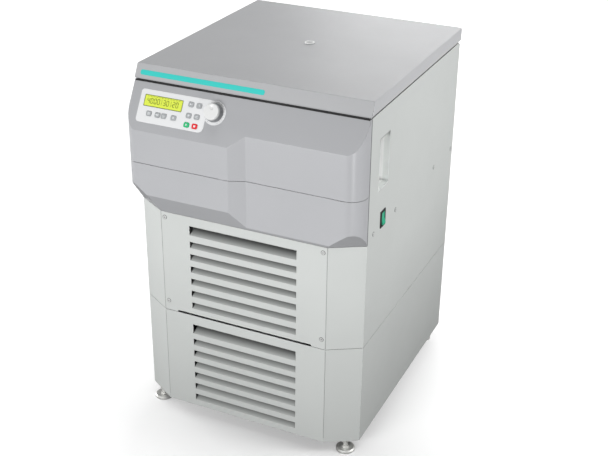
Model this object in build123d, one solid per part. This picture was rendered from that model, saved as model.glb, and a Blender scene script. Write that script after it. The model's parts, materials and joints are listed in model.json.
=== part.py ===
from build123d import *
import math
import os

# Floor-standing refrigerated laboratory centrifuge, in millimetres.
# +Z is up, the front faces -Y, the right-hand side is +X. The origin is on
# the floor, under the middle of the machine.

# ---------------------------------------------------------------- overall
WIDTH = 620.0            # cabinet width
FRONT_Y = -338.5         # plane of the vented front panels
REAR_Y = 351.0           # outside of the rear panel
FOOT_HEIGHT = 32.0       # floor to the underside of the cabinet
SECTION_Z = 315.8        # joint between the lower and upper sections
FASCIA_Z = 602.0         # underside of the control console
FASCIA_SEAM_Z = 732.0    # joint between the two console mouldings
TOP_Z = 924.0            # top deck and top edge of the side panels
LID_GAP = 4.6            # visible gap under the lid
LID_HEIGHT = 32.4        # height of the lid's outer shell
CHAMFER_X = 81.0         # front corner chamfer, across
CHAMFER_Y = 49.0         # front corner chamfer, along the depth

# ---------------------------------------------------------------- clearances
SHEET = 1.5              # cabinet sheet thickness
PANEL_GAP = 0.6          # half of the joint left between cabinet sections
SEAT = 0.3               # clearance of a piece in its seat
RUN = 0.05               # radial running clearance of a shaft in its hole

# ---------------------------------------------------------------- console
WALL = 3.0               # wall of the console mouldings and the lid shell
CONSOLE_LEFT_Y = -358.5  # front face of the deep, left part
CONSOLE_RIGHT_Y = -341.5 # front face of the shallow, right part
CONSOLE_BACK_Y = -290.0  # rear edge, against the side panels
STEP_X0 = -25.0          # the step between both parts starts here
STEP_X1 = 15.0           # and ends here
CORNER_LEFT = 32.0       # plan radius of the left corner
CORNER_RIGHT = 42.0      # plan radius of the right corner
SLOPE_TOP_Y = -295.5     # upper edge of the sloping operator panel
CREASE_Z = 846.0         # lower edge of the slope on the right part
UNDER_RISE = 46.0        # bevel under the console's left part
UNDER_RISE_CORNER = 30.0 # bevel over the cabinet's chamfers

# ---------------------------------------------------------------- keypad
OVERLAY = 0.8            # thickness of the keypad foil carrier
KEY_W = 15.0
KEY_H = 12.5
KEY_R = 3.5
KEY_PROUD = 1.4          # key cap above the overlay
KEY_TRAVEL = 0.6
KEY_FLANGE = 0.8         # retaining rim under the console wall
KEY_STEM_R = 2.5
DISPLAY_X = (-270.0, -165.0)
DISPLAY_S = (30.0, 57.5)
KNOB_AT = (-76.8, 42.0)
KNOB_R = 23.0
KNOB_FACE_R = 19.0
KNOB_HEIGHT = 19.0
ENCODER_SHAFT_R = 3.0
BOARD_DEPTH = 12.2       # operator panel surface to the front of the board
KEYS = {
    "key_program": (-250.0, 12.5),
    "key_recall": (-225.9, 12.5),
    "key_minus": (-208.5, 12.5),
    "key_light": (-181.3, 12.5),
    "key_speed": (-142.4, 52.2),
    "key_time": (-120.4, 52.2),
    "key_cool": (-142.4, 25.0),
    "key_lid": (-120.4, 25.0),
    "key_start": (-142.7, 2.0),
    "key_stop": (-120.7, 2.0),
}

# ---------------------------------------------------------------- vents
VENT_HALF = 148.2        # half length of a vent slot
FIN_ANGLE = 28.0
FIN_LENGTH = 26.0
UPPER_VENT = dict(first_top=576.0, first_h=26.0, top=532.0, pitch=35.4, h=18.0)
LOWER_VENT = dict(first_top=288.5, first_h=28.0, top=243.8, pitch=34.9, h=19.0)
VENT_ROWS = 6            # slots below the first, taller one
PANEL_HALF = WIDTH / 2 - CHAMFER_X - 0.3
FINGER_X = (-191.0, 190.0)
FINGER_H = 4.5

# ---------------------------------------------------------------- side details
GRIP_Y = (-230.5, -168.5)
GRIP_Z = (722.0, 852.0)
GRIP_DEPTH = 24.0
GRIP_WALL = 2.0
GRIP_FILLET = 4.0
SWITCH_Y = (-210.5, -180.5)
SWITCH_Z = (613.0, 657.0)
SWITCH_PROUD = 3.0
SWITCH_DEPTH = 26.0
ROCKER_TILT = 7.0
ROCKER_PIN_R = 1.5
ROCKER_IN = 3.0          # rocker pivot, in from the side panel's face
SIDE_SCREW_Z = FASCIA_Z + 15.5
SIDE_SCREW_Y = (-252.5, -103.9, 190.0, 336.0)
SCREW_HEAD_R = 4.5
SCREW_HEAD_H = 1.3
SCREW_R = 2.0

# ---------------------------------------------------------------- chamber
CHAMBER_Y = 48.5         # rotor axis
BOWL_R = 220.0
BOWL_WALL = 1.5
BOWL_FLOOR_Z = 668.0
BOWL_HUB_R = 40.0
DECK = 3.5
DECK_HOLE_R = BOWL_R + 4.5
DECK_REAR_Y = REAR_Y - 12.0
GUARD_R = BOWL_R + 30.0
GUARD_WALL = 12.0
COIL_R = 5.0
COIL_ROWS = 9
SEAL_R = (BOWL_R + 16.0, BOWL_R + 26.0)

# ---------------------------------------------------------------- drive, rotor
PLATE_Z = 600.0
PLATE = 8.0
MOTOR_R = 85.0
MOTOR_BOTTOM_Z = 420.0
MOTOR_FLANGE_R = 122.0
DAMPER_H = 18.0
DAMPER_R = 15.0
NECK_R = 30.0
NECK_TOP_Z = 700.0
SHAFT_R = 12.0
SPIGOT_R = 10.0
SHAFT_BOTTOM_Z = 500.0
HUB_Z = (770.0, 825.0)
NUT_H = 20.0
ARM_Z = (785.0, 815.0)
TRUNNION_Z = 800.0
TRUNNION_AT = 106.0      # rotor axis to the bucket's pivot
TRUNNION_R = 6.0
BUCKET_R = 43.0
BUCKET_WALL = 2.5
BUCKET_FLOOR = 4.0
BUCKET_BELOW = 100.0     # pivot to the bucket's underside
BUCKET_ABOVE = 25.0
BOSS = 4.5               # trunnion boss on the side of the bucket
ARM_CLEAR = 2.0          # bucket boss to rotor arm

# ---------------------------------------------------------------- cooling air
CONDENSER = 250.0        # height of the condenser and its shroud
CONDENSER_HALF = 150.0
CORE_Y = FRONT_Y + 30.0
CORE_DEPTH = 32.0
SHROUD_END = CORE_Y + CORE_DEPTH + 42.0
SHROUD_BORE_R = 106.0
FAN_SHAFT_R = 3.0

# ---------------------------------------------------------------- lid
LID_WIDTH = WIDTH + 2.0
LID_FRONT_Y = -295.8
LID_CREASE_Y = -279.5
LID_REAR_Y = 362.5
HINGE_Y = LID_REAR_Y - 13.5
HINGE_Z = TOP_Z + 13.0
HINGE_X = 200.0
HINGE_PIN_R = 4.0
KNUCKLE_R = 8.0
KNUCKLE_HALF = 7.5
EAR = 6.0
HINGE_FOOT = 1.5         # thickness of the hinge bracket's foot
BRACKET_BACK = 9.0       # foot of a bracket ends this far in front of the pin
SWEEP_GAP = 0.8          # cabinet to the lid's rear edge as it swings
LID_PLATE = 2.0
PLUG_R = BOWL_R - 6.0
PLUG_DEPTH = 12.0
SIGHT_R = 11.0
SIGHT_FLANGE_R = 13.5
SIGHT_FLANGE_H = 2.5
LOCK_X = 150.0
LOCK_Y = -247.0
LOCK_Z = TOP_Z - 32.0
LOCK_PIN_R = 5.0
STRIKER = 5.0

# ---------------------------------------------------------------- frame, base
POST = 30.0
TUBE_WALL = 3.0          # wall of the square-tube posts
POST_IN = 2.0            # outer face of a post, in from the cabinet's side
FRONT_POST_Y = -285.0
REAR_POST_Y = 305.0
PAN = 3.0
PAN_RIM = 15.0
FOOT_X = 275.0
FOOT_Y = (-297.5, 304.5)
FOOT_PAD_R = 25.0
FOOT_PAD_H = 8.0
STEM_R = 6.0
STEM_ABOVE = 20.0
FOOT_BUSH_R = 9.0        # threaded bush welded on the base tray
NUT_R = 11.0
NUT_THICK = 7.0

LID_Z = TOP_Z + LID_GAP
LID_TOP_Z = LID_Z + LID_HEIGHT
HALF = WIDTH / 2


# ---------------------------------------------------------------- helpers
def block(x, y, z):
    """A box between two X, two Y and two Z values."""
    size = [abs(b - a) for a, b in (x, y, z)]
    middle = [(a + b) / 2 for a, b in (x, y, z)]
    return Pos(*middle) * Box(*size)


def rod(radius, axis, at, span):
    """A cylinder along X, Y or Z; at gives the other two coordinates."""
    length = span[1] - span[0]
    middle = (span[0] + span[1]) / 2
    if axis == "X":
        return Pos(middle, at[0], at[1]) * Rot(0, 90, 0) * Cylinder(radius, length)
    if axis == "Y":
        return Pos(at[0], middle, at[1]) * Rot(90, 0, 0) * Cylinder(radius, length)
    return Pos(at[0], at[1], middle) * Cylinder(radius, length)


def tube(outer, inner, at, span):
    """An upright ring."""
    return rod(outer, "Z", at, span) - rod(inner, "Z", at, (span[0] - 1, span[1] + 1))


def outline(points, z0, z1):
    """A closed plan outline raised from z0 to z1."""
    face = make_face(Polyline(*points, close=True))
    return Pos(0, 0, z0) * extrude(face, z1 - z0, dir=(0, 0, 1))


def side_profile(points, x0, x1):
    """A closed outline of (y, z) points drawn from x0 to x1."""
    face = make_face(Polyline(*[(0, y, z) for y, z in points], close=True))
    return Pos(x0, 0, 0) * extrude(face, x1 - x0, dir=(1, 0, 0))


def front_profile(points, y0, y1):
    """A closed outline of (x, z) points drawn from y0 to y1."""
    face = make_face(Polyline(*[(x, 0, z) for x, z in points], close=True))
    return Pos(0, y0, 0) * extrude(face, y1 - y0, dir=(0, 1, 0))


def waste_beyond(p, q, inset, reach=400.0, half=400.0):
    """The space on the left of the line p to q in the Y-Z plane, set back by inset."""
    length = math.hypot(q[0] - p[0], q[1] - p[1])
    d = ((q[0] - p[0]) / length, (q[1] - p[1]) / length)
    n = (-d[1], d[0])
    base = (p[0] - n[0] * inset, p[1] - n[1] * inset)
    low = (base[0] - d[0] * reach, base[1] - d[1] * reach)
    high = (base[0] + d[0] * reach, base[1] + d[1] * reach)
    far_high = (high[0] + n[0] * reach, high[1] + n[1] * reach)
    far_low = (low[0] + n[0] * reach, low[1] + n[1] * reach)
    return side_profile([low, high, far_high, far_low], -half, half)


def mirrored(shape):
    """The same piece on the left-hand side."""
    return mirror(shape, about=Plane.YZ)


def rounded_pad(width, height, radius, z0, z1, at=(0.0, 0.0)):
    """A rounded rectangle raised from z0 to z1 on the operator panel's plane."""
    sketch = Pos(at[0], at[1]) * RectangleRounded(width, height, radius)
    return Pos(0, 0, z0) * extrude(sketch, z1 - z0, dir=(0, 0, 1))


# ---------------------------------------------------------------- operator panel plane
SLOPE_RUN = SLOPE_TOP_Y - CONSOLE_RIGHT_Y
SLOPE_RISE = TOP_Z - CREASE_Z
SLOPE_LEN = math.hypot(SLOPE_RUN, SLOPE_RISE)
SLOPE_NORMAL = (0.0, -SLOPE_RISE / SLOPE_LEN, SLOPE_RUN / SLOPE_LEN)
slope = Plane(origin=(0, CONSOLE_RIGHT_Y, CREASE_Z), x_dir=(1, 0, 0), z_dir=SLOPE_NORMAL)


def on_slope(shape):
    return slope.location * shape


# ---------------------------------------------------------------- cabinet
def cabinet_outline(inset):
    """Plan of the cabinet with its two front chamfers, set in by inset."""
    half = HALF - inset
    front = FRONT_Y + inset
    rear = REAR_Y - inset
    slant = inset * math.tan(math.atan2(CHAMFER_Y, CHAMFER_X) / 2)
    cut_x = HALF - CHAMFER_X - slant
    side_slant = inset * math.tan(math.atan2(CHAMFER_X, CHAMFER_Y) / 2)
    cut_y = FRONT_Y + CHAMFER_Y + side_slant
    return [(-half, rear), (-half, cut_y), (-cut_x, front),
            (cut_x, front), (half, cut_y), (half, rear)]


def chassis():
    """Welded base tray, four posts and the rails between them."""
    pan_in = SHEET + SEAT
    body = outline(cabinet_outline(pan_in), FOOT_HEIGHT, FOOT_HEIGHT + PAN_RIM)
    body -= outline(cabinet_outline(pan_in + PAN), FOOT_HEIGHT + PAN, FOOT_HEIGHT + PAN_RIM + 1)
    out = HALF - POST_IN
    floor = FOOT_HEIGHT + PAN
    deck_under = TOP_Z - DECK
    spans_y = ((FRONT_POST_Y, FRONT_POST_Y + POST), (REAR_POST_Y, REAR_POST_Y + POST - 2))
    for side in (-1, 1):
        x = (side * out, side * (out - POST))
        bore = (side * (out - TUBE_WALL), side * (out - POST + TUBE_WALL))
        for span in spans_y:
            body += block(x, span, (floor, deck_under))
            body -= block(bore, (span[0] + TUBE_WALL, span[1] - TUBE_WALL), (floor, deck_under + 1))
        between = (FRONT_POST_Y + POST, REAR_POST_Y)
        body += block(x, between, (PLATE_Z - POST, PLATE_Z))
        body += block((side * out, side * (out - 9)), between, (deck_under - POST, deck_under))
    inner = out - POST
    body += block((-inner, inner), spans_y[0], (PLATE_Z - POST, PLATE_Z))
    body += block((-inner, inner), (FRONT_POST_Y, FRONT_POST_Y + 9), (deck_under - POST, deck_under))
    body += block((-inner, inner), (REAR_POST_Y + 15, REAR_POST_Y + POST - 2),
                  (deck_under - POST, deck_under))
    for x in (-FOOT_X, FOOT_X):
        for y in FOOT_Y:
            body += rod(FOOT_BUSH_R, "Z", (x, y), (floor, floor + 12))
            body -= rod(STEM_R + RUN, "Z", (x, y), (FOOT_HEIGHT - 1, floor + STEM_ABOVE + 5))
    return body


def foot(x, y):
    """Levelling foot: pad, lock nut and threaded stem."""
    pad = rod(FOOT_PAD_R, "Z", (x, y), (0, FOOT_PAD_H))
    pad = chamfer(pad.edges().group_by(Axis.Z)[-1], 3)
    stem = rod(STEM_R, "Z", (x, y), (FOOT_PAD_H, FOOT_HEIGHT + STEM_ABOVE))
    collar = rod(9.0, "Z", (x, y), (FOOT_PAD_H, FOOT_PAD_H + 5))
    hexagon = extrude(RegularPolygon(NUT_R, 6), NUT_THICK)
    nut = Pos(x, y, FOOT_HEIGHT - NUT_THICK - SEAT) * hexagon
    return pad + stem + collar + nut


def skin_ring(z0, z1):
    """The bent sheet that wraps round the cabinet's plan."""
    ring = outline(cabinet_outline(0), z0, z1)
    return ring - outline(cabinet_outline(SHEET), z0 - 1, z1 + 1)


def lower_housing():
    """Skirt round the lower section, open at the front between the chamfers."""
    body = skin_ring(FOOT_HEIGHT, SECTION_Z - PANEL_GAP)
    gap = PANEL_HALF + SEAT
    body -= block((-gap, gap), (FRONT_Y - 1, FRONT_Y + 20), (0, SECTION_Z + 1))
    body -= inlet_hole()
    return body


def lid_sweep():
    """The space that the lid's lower rear edge passes through, round the hinge pin."""
    radius = math.hypot(LID_REAR_Y - HINGE_Y, HINGE_Z - LID_Z) + SWEEP_GAP
    return rod(radius, "X", (HINGE_Y, HINGE_Z), (-HALF - 1, HALF + 1))


def side_panel(side):
    """Upper side panel with its bent chamfer below the console."""
    body = skin_ring(SECTION_Z + PANEL_GAP, TOP_Z)
    body -= block((-HALF, PANEL_HALF + SEAT), (-400, 400), (0, TOP_Z + 1))
    body -= block((0, HALF + 1), (-400, FRONT_Y + CHAMFER_Y), (FASCIA_Z - PANEL_GAP, TOP_Z + 1))
    body -= block((0, HALF - SHEET), (-400, FRONT_Y + CHAMFER_Y + 5), (FASCIA_Z - PANEL_GAP, TOP_Z + 1))
    body -= block((0, HALF - SHEET), (REAR_Y - 10, REAR_Y + 1), (0, TOP_Z + 1))
    body -= lid_sweep() & block((HALF - 20, HALF + 1), (HINGE_Y - 6.5, REAR_Y + 1), (TOP_Z - 20, TOP_Z + 1))
    hole_y = (GRIP_Y[0] - GRIP_WALL - SEAT, GRIP_Y[1] + GRIP_WALL + SEAT)
    hole_z = (GRIP_Z[0] - GRIP_WALL - SEAT, GRIP_Z[1] + GRIP_WALL + SEAT)
    body -= block((HALF - 10, HALF + 1), hole_y, hole_z)
    for y in SIDE_SCREW_Y:
        body -= rod(SCREW_R + SEAT, "X", (y, SIDE_SCREW_Z), (HALF - 10, HALF + 1))
    if side < 0:
        return mirrored(body)
    body -= block((HALF - 10, HALF + 1), (SWITCH_Y[0] + 2, SWITCH_Y[1] - 2),
                  (SWITCH_Z[0] + 2, SWITCH_Z[1] - 2))
    return body


def rear_panel():
    """Flat rear sheet with rows of air slots, clear of the lid's sweep."""
    top = HINGE_Z - math.hypot(LID_REAR_Y - HINGE_Y, HINGE_Z - LID_Z) - 2 * SWEEP_GAP
    half = HALF - SHEET - SEAT
    body = block((-half, half), (REAR_Y - SHEET, REAR_Y), (SECTION_Z + PANEL_GAP, top))
    for row in range(10):
        z = 380.0 + 22.0 * row
        for x in (-130.0, 0.0, 130.0):
            body -= block((x - 50, x + 50), (REAR_Y - 5, REAR_Y + 5), (z, z + 7))
    return body


def vent_slots(vent):
    """Heights (bottom, top) of a panel's slots, from the top down."""
    slots = [(vent["first_top"] - vent["first_h"], vent["first_top"])]
    for row in range(VENT_ROWS):
        top = vent["top"] - row * vent["pitch"]
        slots.append((top - vent["h"], top))
    return slots


def vent_panel(vent, z0, z1):
    """Front sheet with slots and the fins bent inward from their lower edges."""
    body = block((-PANEL_HALF, PANEL_HALF), (FRONT_Y, FRONT_Y + SHEET), (z0, z1))
    run = FIN_LENGTH * math.cos(math.radians(FIN_ANGLE))
    rise = FIN_LENGTH * math.sin(math.radians(FIN_ANGLE))
    for bottom, top in vent_slots(vent):
        body -= block((-VENT_HALF, VENT_HALF), (FRONT_Y - 1, FRONT_Y + 5), (bottom, top))
        profile = [(FRONT_Y, bottom), (FRONT_Y + run, bottom + rise),
                   (FRONT_Y + run, bottom + rise - SHEET), (FRONT_Y, bottom - SHEET)]
        body += side_profile(profile, -VENT_HALF, VENT_HALF)
    return body


def upper_vent_panel():
    z0 = SECTION_Z + PANEL_GAP
    body = vent_panel(UPPER_VENT, z0, FASCIA_Z - PANEL_GAP)
    body -= block(FINGER_X, (FRONT_Y - 1, FRONT_Y + 5), (z0 - 1, z0 + FINGER_H))
    for x, z in panel_screw_spots():
        body -= rod(SCREW_R + SEAT, "Y", (x, z), (FRONT_Y - 1, FRONT_Y + 5))
    return body


def panel_screw_spots():
    return [(x, z) for x in (-218.0, 218.0) for z in (SECTION_Z + 28.2, FASCIA_Z - 15.5)]


def panel_screws():
    """Pan-head screws of the upper vent panel and the side panels."""
    screws = []
    for x, z in panel_screw_spots():
        head = rod(SCREW_HEAD_R, "Y", (x, z), (FRONT_Y - SCREW_HEAD_H, FRONT_Y))
        head = fillet(head.edges().group_by(Axis.Y)[0], 0.8)
        screws.append(head + rod(SCREW_R, "Y", (x, z), (FRONT_Y - 0.5, FRONT_Y + 8)))
    for y in SIDE_SCREW_Y:
        head = rod(SCREW_HEAD_R, "X", (y, SIDE_SCREW_Z), (HALF, HALF + SCREW_HEAD_H))
        head = fillet(head.edges().group_by(Axis.X)[-1], 0.8)
        shank = rod(SCREW_R, "X", (y, SIDE_SCREW_Z), (HALF - POST_IN, HALF + 0.5))
        screws.append(head + shank)
        screws.append(mirrored(head + shank))
    return Compound(children=screws)


# ---------------------------------------------------------------- console
def console_solid(inset):
    """The console's outer form, set in by inset on every visible side."""
    half = HALF - inset
    left = CONSOLE_LEFT_Y + inset
    right = CONSOLE_RIGHT_Y + inset
    back = CONSOLE_BACK_Y + (20.0 if inset else 0.0)
    points = [(-half, back), (-half, left), (STEP_X0 - inset / 2, left),
              (STEP_X1 - inset / 2, right), (half, right), (half, back)]
    face = make_face(Polyline(*points, close=True))
    left_corner = face.vertices().filter_by(
        lambda v: abs(v.X + half) < 0.01 and v.Y < back - 1)[0]
    face = fillet(left_corner, CORNER_LEFT - inset)
    right_corner = face.vertices().filter_by(
        lambda v: abs(v.X - half) < 0.01 and v.Y < back - 1)[0]
    face = fillet(right_corner, CORNER_RIGHT - inset)
    z0 = FASCIA_Z + inset
    z1 = TOP_Z - inset
    body = Pos(0, 0, z0) * extrude(face, z1 - z0, dir=(0, 0, 1))
    body -= waste_beyond((CONSOLE_RIGHT_Y, CREASE_Z), (SLOPE_TOP_Y, TOP_Z), inset)
    body -= waste_beyond((FRONT_Y, FASCIA_Z), (CONSOLE_LEFT_Y, FASCIA_Z + UNDER_RISE), inset)
    corner = waste_beyond((0, 0), (-20.0, UNDER_RISE_CORNER), inset, 150.0, 150.0)
    turn = math.degrees(math.atan2(CHAMFER_Y, CHAMFER_X))
    corner = Pos(HALF - CHAMFER_X, FRONT_Y, FASCIA_Z) * Rot(0, 0, turn) * corner
    body -= corner
    body -= mirrored(corner)
    return body


def key_window(at):
    return rounded_pad(KEY_W + 2 * SEAT, KEY_H + 2 * SEAT, KEY_R + SEAT, -WALL - 1, OVERLAY + 1, at)


def display_centre():
    return (sum(DISPLAY_X) / 2, sum(DISPLAY_S) / 2)


def console_shell():
    body = console_solid(0) - console_solid(WALL)
    for at in KEYS.values():
        body -= on_slope(key_window(at))
    width = DISPLAY_X[1] - DISPLAY_X[0] - 5
    height = DISPLAY_S[1] - DISPLAY_S[0] - 4.5
    body -= on_slope(rounded_pad(width, height, 1.0, -WALL - 1, 1, display_centre()))
    body -= on_slope(rod(6.0, "Z", KNOB_AT, (-WALL - 1, 1)))
    return body


def upper_fascia(shell):
    return shell - block((-400, 400), (-400, 0), (0, FASCIA_SEAM_Z + 0.5))


def lower_fascia(shell):
    return shell - block((-400, 400), (-400, 0), (FASCIA_SEAM_Z - 0.5, TOP_Z + 1))


def keypad_overlay():
    """Keyhole-shaped foil carrier round the display, keys and knob."""
    x0, x1 = -283.0, -97.0
    s0, s1 = -11.0, 71.0
    ring = 29.5
    sketch = Pos((x0 + x1) / 2, (s0 + s1) / 2) * Rectangle(x1 - x0, s1 - s0)
    sketch += Pos(*KNOB_AT) * Circle(ring)
    band = s1 - KNOB_AT[1]
    sketch += Pos((x1 + KNOB_AT[0]) / 2, KNOB_AT[1] + band / 2) * Rectangle(KNOB_AT[0] - x1 + 0.02, band)
    left = sketch.vertices().filter_by(lambda v: v.X < x0 + 0.1)
    sketch = fillet(left, 8.0)
    corner = sketch.vertices().filter_by(lambda v: abs(v.X - x1) < 0.1 and v.Y < s0 + 0.1)
    sketch = fillet(corner, 14.0)
    body = extrude(sketch, OVERLAY)
    for at in KEYS.values():
        body -= key_window(at)
    width = DISPLAY_X[1] - DISPLAY_X[0] + 2 * SEAT
    height = DISPLAY_S[1] - DISPLAY_S[0] + 2 * SEAT
    body -= rounded_pad(width, height, 1.5, -1, OVERLAY + 1, display_centre())
    body -= rod(6.0, "Z", KNOB_AT, (-1, OVERLAY + 1))
    return on_slope(body)


def display_window():
    width = DISPLAY_X[1] - DISPLAY_X[0]
    height = DISPLAY_S[1] - DISPLAY_S[0]
    return on_slope(rounded_pad(width, height, 1.2, 0, OVERLAY, display_centre()))


def key(at):
    """Key cap with its retaining rim and plunger."""
    top = OVERLAY + KEY_PROUD
    cap = rounded_pad(KEY_W, KEY_H, KEY_R, -WALL - 1, top, at)
    cap = fillet(cap.edges().group_by(Axis.Z)[-1], 1.0)
    rim = rounded_pad(KEY_W + 2 * KEY_FLANGE, KEY_H + 2 * KEY_FLANGE, KEY_R, -WALL - 1, -WALL, at)
    stem = rod(KEY_STEM_R, "Z", at, (-8.0, -WALL - 1))
    return on_slope(cap + rim + stem)


def control_board():
    """Board with display module, key switches, rotary encoder and its stand-offs."""
    back = -BOARD_DEPTH - 1.6
    x0, x1 = -285.0, -45.0
    body = block((x0, x1), (-12.0, 72.0), (back, -BOARD_DEPTH))
    for at in KEYS.values():
        body += block((at[0] - 3, at[0] + 3), (at[1] - 3, at[1] + 3), (-BOARD_DEPTH, -8.0 - KEY_TRAVEL - 0.2))
    width = DISPLAY_X[1] - DISPLAY_X[0] - 6
    height = DISPLAY_S[1] - DISPLAY_S[0] - 5.5
    body += rounded_pad(width, height, 0.8, -BOARD_DEPTH, -0.2, display_centre())
    body += rod(5.0, "Z", KNOB_AT, (-BOARD_DEPTH, OVERLAY))
    body -= rod(ENCODER_SHAFT_R + RUN, "Z", KNOB_AT, (-BOARD_DEPTH + 1, OVERLAY + 1))
    for x in (x0 + 6, x1 - 6):
        for s in (68.0, -8.0):
            body += rod(2.5, "Z", (x, s), (-BOARD_DEPTH, -WALL))
    return on_slope(body)


def control_knob():
    """Tapered knob with a finger dimple, on the encoder's shaft."""
    base = OVERLAY + 0.5
    profile = [(0, base), (KNOB_R, base), (KNOB_R, base + 4), (KNOB_FACE_R, base + KNOB_HEIGHT),
               (0, base + KNOB_HEIGHT)]
    face = make_face(Polyline(*[(x, 0, z) for x, z in profile], close=True))
    body = revolve(face, Axis.Z)
    body = fillet(body.edges().group_by(Axis.Z)[-1], 1.5)
    body = Pos(*KNOB_AT, 0) * body
    dimple_at = (KNOB_AT[0], KNOB_AT[1] + 9.0, base + KNOB_HEIGHT + 9.0)
    body -= Pos(*dimple_at) * Sphere(11.0)
    body += rod(ENCODER_SHAFT_R, "Z", KNOB_AT, (-BOARD_DEPTH + 1.3, base + 1))
    return on_slope(body)


# ---------------------------------------------------------------- power switch, grips, inlet
def switch_frame():
    """Bezel and body of the mains switch."""
    wall = 2.5
    y0, y1 = SWITCH_Y
    z0, z1 = SWITCH_Z
    bezel = block((HALF, HALF + SWITCH_PROUD), (y0, y1), (z0, z1))
    bezel = chamfer(bezel.edges().group_by(Axis.X)[-1], 1.0)
    body = bezel + block((HALF - SWITCH_DEPTH, HALF + 1), (y0 + 2.3, y1 - 2.3), (z0 + 2.3, z1 - 2.3))
    body -= block((HALF - SWITCH_DEPTH + wall, HALF + 20), (y0 + 2.3 + wall, y1 - 2.3 - wall),
                  (z0 + 1.5 + wall, z1 - 1.5 - wall))
    pin_y = (y0 + 3.2, y1 - 3.2)
    body -= rod(ROCKER_PIN_R + RUN, "Y", (HALF - ROCKER_IN, (z0 + z1) / 2), pin_y)
    return body


def switch_rocker():
    """Rocker with two faces, tipped to its rest position."""
    z_mid = sum(SWITCH_Z) / 2
    y0, y1 = SWITCH_Y[0] + 5.3, SWITCH_Y[1] - 5.3
    profile = [(-5, -8), (-5, 8), (7.0, 15.5), (5.0, 0), (7.0, -15.5)]
    body = front_profile(profile, y0, y1)
    body += rod(ROCKER_PIN_R, "Y", (0, 0), (y0 - 1.5, y1 + 1.5))
    return Pos(HALF - ROCKER_IN, 0, z_mid) * Rot(0, -ROCKER_TILT, 0) * body


def grip_cup():
    """Recessed hand grip in the side panel."""
    y0, y1 = GRIP_Y
    z0, z1 = GRIP_Z
    w = GRIP_WALL
    body = block((HALF - GRIP_DEPTH - w, HALF), (y0 - w, y1 + w), (z0 - w, z1 + w))
    hollow = block((HALF - GRIP_DEPTH, HALF + 5), (y0, y1), (z0, z1))
    hollow = fillet(hollow.edges().group_by(Axis.X)[0], GRIP_FILLET)
    return body - hollow


def inlet_span():
    return (-230.0, -176.0), (84.0, 118.0)


def inlet_hole():
    x, z = inlet_span()
    return block((x[0] + 3, x[1] - 3), (REAR_Y - 10, REAR_Y + 5), (z[0] + 3, z[1] - 3))


def mains_inlet():
    """Appliance inlet with three flat blades, let into the rear of the skirt."""
    x, z = inlet_span()
    body = block(x, (REAR_Y, REAR_Y + 3), z)
    body += block((x[0] + 3 + SEAT, x[1] - 3 - SEAT), (REAR_Y - 28, REAR_Y + 1),
                  (z[0] + 3 + SEAT, z[1] - 3 - SEAT))
    body -= block((x[0] + 8, x[1] - 8), (REAR_Y - 22, REAR_Y + 5), (z[0] + 7, z[1] - 7))
    mid_x = sum(x) / 2
    mid_z = sum(z) / 2
    for dx in (-13.0, 0.0, 13.0):
        body += block((mid_x + dx - 4, mid_x + dx + 4), (REAR_Y - 23, REAR_Y - 7), (mid_z - 1, mid_z + 1))
    return body


# ---------------------------------------------------------------- chamber
def top_deck():
    """Deck plate round the chamber's mouth, with its rear edge turned down."""
    half = HALF - SHEET - SEAT
    body = block((-half, half), (CONSOLE_BACK_Y + PANEL_GAP, DECK_REAR_Y), (TOP_Z - DECK, TOP_Z))
    body += block((-half, half), (DECK_REAR_Y - SHEET, DECK_REAR_Y), (TOP_Z - 27, TOP_Z))
    body -= rod(DECK_HOLE_R, "Z", (0, CHAMBER_Y), (TOP_Z - 10, TOP_Z + 5))
    for x in (-LOCK_X, LOCK_X):
        body -= block((x - 5, x + 5), (LOCK_Y - 15, LOCK_Y + 15), (TOP_Z - 10, TOP_Z + 5))
    return body


def chamber_bowl():
    """Stainless bowl hung in the deck by its rim."""
    r = BOWL_R
    w = BOWL_WALL
    z0 = BOWL_FLOOR_Z
    rim = TOP_Z + w
    solid = rod(r + w, "Z", (0, 0), (z0 - w, rim))
    solid = fillet(solid.edges().group_by(Axis.Z)[0], 30.0 + w)
    hollow = rod(r, "Z", (0, 0), (z0, rim + 1))
    hollow = fillet(hollow.edges().group_by(Axis.Z)[0], 30.0)
    body = solid - hollow
    body += tube(r + 14, r, (0, 0), (TOP_Z, rim))
    body += tube(BOWL_HUB_R + w, BOWL_HUB_R, (0, 0), (z0 - w, z0 + 8))
    body -= rod(BOWL_HUB_R, "Z", (0, 0), (z0 - 5, z0 + 20))
    return Pos(0, CHAMBER_Y, 0) * body


def chamber_seal():
    ring = tube(SEAL_R[1], SEAL_R[0], (0, CHAMBER_Y), (TOP_Z, LID_Z + 0.4))
    return ring


def guard_ring():
    """Armour ring that stands on the motor plate round the bowl."""
    return tube(GUARD_R + GUARD_WALL, GUARD_R, (0, CHAMBER_Y), (PLATE_Z + PLATE, TOP_Z - DECK - 3))


def evaporator_coil():
    """Refrigerant rings on the bowl, joined by one header."""
    major = BOWL_R + BOWL_WALL + SEAT + COIL_R
    first = BOWL_FLOOR_Z + 40
    pitch = (TOP_Z - 50 - first) / (COIL_ROWS - 1)
    header_at = major + 2.5
    body = rod(COIL_R + 0.8, "Z", (0, -header_at), (first - 20, first + pitch * (COIL_ROWS - 1) + 12))
    for row in range(COIL_ROWS):
        body += Pos(0, 0, first + pitch * row) * Torus(major, COIL_R)
    return Pos(0, CHAMBER_Y, 0) * body


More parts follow.
